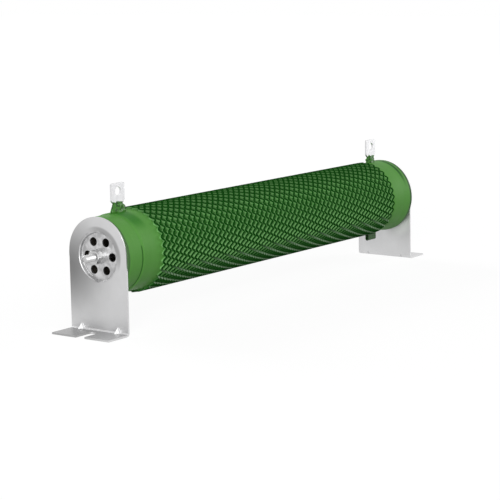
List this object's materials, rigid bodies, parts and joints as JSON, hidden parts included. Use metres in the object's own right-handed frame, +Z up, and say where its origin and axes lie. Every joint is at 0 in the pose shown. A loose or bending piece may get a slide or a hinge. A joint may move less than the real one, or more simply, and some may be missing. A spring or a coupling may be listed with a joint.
{
  "type": "wire-wound tubular power resistor",
  "caption": "Tubular power resistor: coated ceramic tube wound on edge with a corrugated ribbon, lugged terminal straps and a slotted sheet-metal foot at each end.",
  "frame": {"origin": "on the mounting plane under the middle of the tube, half way between the feet", "axes": "+X along the tube from the left bracket to the right one, +Z up away from the feet, +Y across"},
  "size_m": [0.462, 0.068, 0.1147],
  "materials": {
    "coated_ceramic": "satin green heat-resistant coating over a ceramic tube, bare cream ceramic in the bore",
    "coated_ribbon": "satin green heat-resistant coating over resistance alloy",
    "coated_strap": "green coating brushed over the strap, bare tinned metal on the lug above it",
    "gasket_fibre": "matt heat-resistant fibre board",
    "bracket_sheet": "satin galvanised sheet",
    "fastener_steel": "bright zinc plating"
  },
  "bodies": {
    "root": {"ceramic_tube": "coated_ceramic", "resistance_ribbon": "coated_ribbon", "left_terminal_band": "coated_strap", "right_terminal_band": "coated_strap", "left_gasket": "gasket_fibre", "right_gasket": "gasket_fibre", "left_bracket": "bracket_sheet", "right_bracket": "bracket_sheet", "tie_rod": "fastener_steel", "left_flat_washer": "fastener_steel", "right_flat_washer": "fastener_steel", "left_spring_washer": "fastener_steel", "right_spring_washer": "fastener_steel", "left_nut": "fastener_steel", "right_nut": "fastener_steel"}
  },
  "joints": []
}
